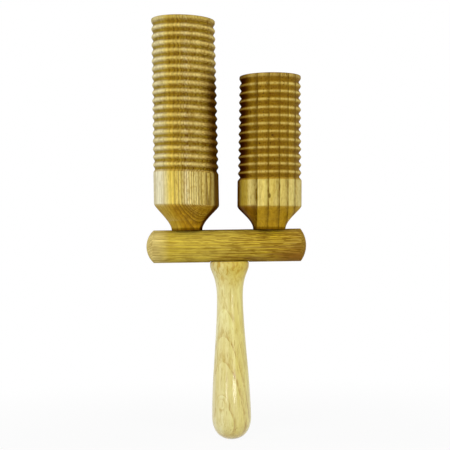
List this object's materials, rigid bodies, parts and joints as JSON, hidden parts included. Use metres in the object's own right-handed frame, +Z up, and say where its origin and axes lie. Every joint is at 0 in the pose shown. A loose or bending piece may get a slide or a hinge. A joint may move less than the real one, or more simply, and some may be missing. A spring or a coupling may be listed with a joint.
{
  "type": "double wood block",
  "caption": "Hand-held wood block percussion: ribbed hollow tubes of unlike length, open at the top, on a round crossbar with a turned handle.",
  "frame": {"origin": "middle of the handle, on its axis, where the hand holds it", "axes": "+Z up the handle towards the open mouths of the blocks; +X along the crossbar, from the long block to the short block; +Y away from the viewer of the picture"},
  "size_m": [0.11, 0.0452, 0.2894],
  "materials": {
    "block_wood": "open-grained pale hardwood, turned and varnished, semi-gloss",
    "crossbar_wood": "open-grained pale hardwood, varnished, semi-gloss",
    "handle_wood": "pale hardwood, turned smooth, gloss varnish",
    "dowel_wood": "bare dowel wood, glued in"
  },
  "bodies": {
    "root": {"long_block": "block_wood", "short_block": "block_wood", "crossbar": "crossbar_wood", "handle": "handle_wood", "long_block_dowel": "dowel_wood", "short_block_dowel": "dowel_wood", "handle_dowel": "dowel_wood"}
  },
  "joints": []
}
